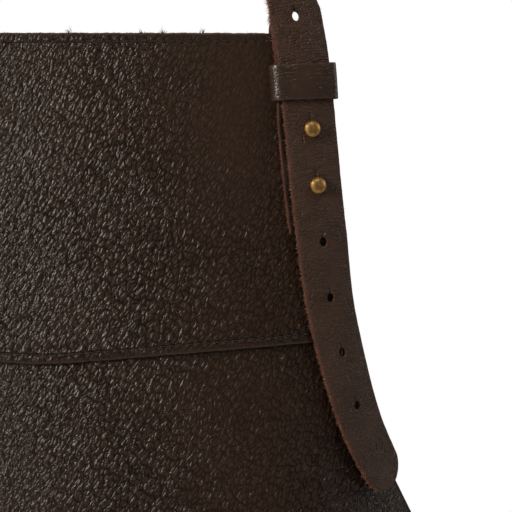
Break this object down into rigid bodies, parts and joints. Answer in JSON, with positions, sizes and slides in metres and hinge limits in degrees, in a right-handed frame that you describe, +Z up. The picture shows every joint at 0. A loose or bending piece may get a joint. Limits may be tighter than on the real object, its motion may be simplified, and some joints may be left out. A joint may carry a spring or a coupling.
{
  "type": "welding apron",
  "caption": "Brown leather bib apron for welding, shaped as worn, with a punched neck strap that buttons over brass studs and slips under leather keepers.",
  "frame": {"origin": "where the middle of the neck strap rests on the wearer's nape", "axes": "+X to the wearer's left, -Y to the wearer's front, +Z up"},
  "size_m": [0.3602, 0.2515, 1.1594],
  "materials": {
    "panel_leather": "pebbled full grain, semi-matte, dark brown",
    "strap_leather": "smooth, finely creased, matte, dark brown with raw reddish cut edges",
    "aged_brass": "aged, softly polished"
  },
  "bodies": {
    "apron": {"bib_panel": "panel_leather", "body_panel": "panel_leather", "top_facing": "panel_leather", "neck_strap": "strap_leather", "strap_anchor_left": "strap_leather", "neck_stud_left_upper": "aged_brass", "neck_screw_left_upper": "aged_brass", "neck_stud_left_lower": "aged_brass", "neck_screw_left_lower": "aged_brass", "waist_rivet_left_front": "aged_brass", "waist_rivet_left_rear": "aged_brass", "strap_anchor_right": "strap_leather", "neck_stud_right_upper": "aged_brass", "neck_screw_right_upper": "aged_brass", "neck_stud_right_lower": "aged_brass", "neck_screw_right_lower": "aged_brass", "waist_rivet_right_front": "aged_brass", "waist_rivet_right_rear": "aged_brass", "waist_strap_left": "strap_leather", "waist_strap_right": "strap_leather", "waist_stud_inner": "aged_brass", "waist_screw_inner": "aged_brass", "waist_stud_outer": "aged_brass", "waist_screw_outer": "aged_brass"},
    "neck_keeper_left": {"neck_keeper_left": "strap_leather"},
    "neck_keeper_right": {"neck_keeper_right": "strap_leather"},
    "strap_tail_left": {"strap_tail_left": "strap_leather"},
    "strap_tail_right": {"strap_tail_right": "strap_leather"},
    "waist_keeper": {"waist_keeper": "strap_leather"}
  },
  "joints": [
    {"name": "neck_keeper_left_slide", "type": "slide", "parent": "apron", "child": "neck_keeper_left", "axis": [-0.0766, -0.0209, 0.9968], "range_m": [-0.002, 0.004]},
    {"name": "neck_keeper_right_slide", "type": "slide", "parent": "apron", "child": "neck_keeper_right", "axis": [0.0766, -0.0209, 0.9968], "range_m": [-0.002, 0.004]},
    {"name": "strap_tail_left_flex", "type": "hinge", "parent": "apron", "child": "strap_tail_left", "pos_m": [0.12319, -0.14083, -0.31501], "axis": [-0.9413, -0.3205, -0.1057], "range_deg": [0, 60], "stiffness_Nm_per_rad": 0.06},
    {"name": "strap_tail_right_flex", "type": "hinge", "parent": "apron", "child": "strap_tail_right", "pos_m": [-0.12319, -0.14083, -0.31501], "axis": [-0.9413, 0.3205, 0.1057], "range_deg": [0, 60], "stiffness_Nm_per_rad": 0.06},
    {"name": "waist_keeper_slide", "type": "slide", "parent": "apron", "child": "waist_keeper", "axis": [-1, 0, 0], "range_m": [-0.012, 0.03]}
  ]
}
